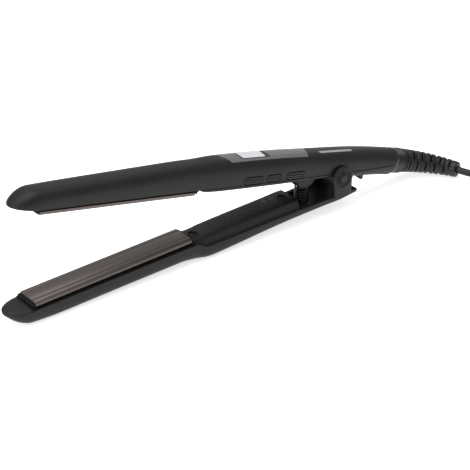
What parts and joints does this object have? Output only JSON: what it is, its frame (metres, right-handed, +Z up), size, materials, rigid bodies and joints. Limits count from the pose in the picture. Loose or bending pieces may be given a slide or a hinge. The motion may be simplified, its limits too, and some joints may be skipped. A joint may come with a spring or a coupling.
{
  "type": "flat iron",
  "caption": "Slim hair-straightening iron, open on its hinge, with floating heated plates, display panel, side buttons, closing lock and a swivel cord wound into a coil with its plug.",
  "frame": {"origin": "on the table, under the flat of the lower arm's heel", "axes": "+X from the nose to the tail and cord, +Y away from the buttons, +Z up"},
  "size_m": [0.5024, 0.0546, 0.084],
  "materials": {
    "soft_touch_black": "soft-touch matte",
    "inner_black": "fine moulded texture",
    "carrier_black": "heat-proof moulding",
    "button_black": "satin",
    "ceramic_plate": "satin ceramic coating",
    "heater_ceramic": "polyimide-wrapped ceramic",
    "spring_steel": "brushed",
    "sensor_glass": "clear",
    "fuse_metal": "satin",
    "satin_silver": "satin silver lacquer",
    "gloss_black": "gloss",
    "display_glass": "clear",
    "display_lit": "pale lit panel",
    "board": "solder-masked",
    "switch_plastic": "moulded",
    "lead_insulation": "silicone sleeve",
    "silicone": "soft",
    "swivel_plastic": "smooth",
    "relief_rubber": "satin",
    "cord_rubber": "satin",
    "tie_plastic": "matte",
    "plug_plastic": "moulded",
    "plug_brass": "nickel-plated",
    "screw_steel": "blackened",
    "pin_steel": "ground"
  },
  "bodies": {
    "upper_arm": {"upper_outer_shell": "soft_touch_black", "upper_inner_cover": "inner_black", "upper_plate_carrier": "carrier_black", "upper_float_pads": "silicone", "control_panel": "satin_silver", "display_bezel": "gloss_black", "display_window": "display_glass", "display_module": "display_lit", "control_board": "board", "button_board": "board", "button_switches": "switch_plastic", "indicator_lens": "gloss_black", "upper_leads": "lead_insulation", "thermal_fuse": "fuse_metal", "swivel_bush": "swivel_plastic", "cord_clamp": "swivel_plastic", "inner_cord": "cord_rubber", "strain_relief": "relief_rubber", "power_cord": "cord_rubber", "cord_coil": "cord_rubber", "coil_tie": "tie_plastic", "plug_lead": "cord_rubber", "plug_body": "plug_plastic", "plug_pins": "plug_brass"},
    "lower_arm": {"lower_outer_shell": "soft_touch_black", "lower_inner_cover": "inner_black", "lower_plate_carrier": "carrier_black", "lower_float_pads": "silicone", "lower_cover_screws": "screw_steel", "lower_leads": "lead_insulation", "hinge_pin": "pin_steel", "pivot_caps": "inner_black", "return_spring": "spring_steel", "lock_catch": "inner_black"},
    "upper_plate_assembly": {"upper_plate": "ceramic_plate", "upper_heater": "heater_ceramic", "upper_heater_clamp": "spring_steel", "temperature_sensor": "sensor_glass"},
    "lower_plate_assembly": {"lower_plate": "ceramic_plate", "lower_heater": "heater_ceramic", "lower_heater_clamp": "spring_steel"},
    "button_1": {"button_1": "button_black"},
    "button_2": {"button_2": "button_black"},
    "button_3": {"button_3": "button_black"},
    "lock_slider": {"lock_slider": "inner_black"},
    "swivel_collar": {"swivel_collar": "swivel_plastic"}
  },
  "joints": [
    {"name": "arm_hinge", "type": "hinge", "parent": "upper_arm", "child": "lower_arm", "pos_m": [0.09666, 0, 0.02341], "axis": [0, 1, 0], "range_deg": [0, 14], "stiffness_Nm_per_rad": 0.6, "springref_deg": -40.11, "deforming": ["return_spring"]},
    {"name": "upper_plate_float", "type": "slide", "parent": "upper_arm", "child": "upper_plate_assembly", "axis": [0.2163, 0, 0.9763], "range_m": [0, 0.0008], "stiffness_N_per_m": 2500, "springref_m": -0.002, "deforming": ["upper_float_pads"]},
    {"name": "lower_plate_float", "type": "slide", "parent": "lower_arm", "child": "lower_plate_assembly", "axis": [0.029, 0, -0.9996], "range_m": [0, 0.0008], "stiffness_N_per_m": 2500, "springref_m": -0.002, "deforming": ["lower_float_pads"]},
    {"name": "button_1_press", "type": "slide", "parent": "upper_arm", "child": "button_1", "axis": [0, 1, 0], "range_m": [0, 0.0006], "stiffness_N_per_m": 900, "springref_m": -0.0008},
    {"name": "button_2_press", "type": "slide", "parent": "upper_arm", "child": "button_2", "axis": [0, 1, 0], "range_m": [0, 0.0006], "stiffness_N_per_m": 900, "springref_m": -0.0008},
    {"name": "button_3_press", "type": "slide", "parent": "upper_arm", "child": "button_3", "axis": [0, 1, 0], "range_m": [0, 0.0006], "stiffness_N_per_m": 900, "springref_m": -0.0008},
    {"name": "lock_slide", "type": "slide", "parent": "upper_arm", "child": "lock_slider", "axis": [-0.9763, 0, 0.2163], "range_m": [0, 0.004]},
    {"name": "cord_swivel", "type": "hinge", "parent": "upper_arm", "child": "swivel_collar", "pos_m": [0.15102, 0, 0.01311], "axis": [0.9484, 0, -0.3171], "continuous": true}
  ]
}
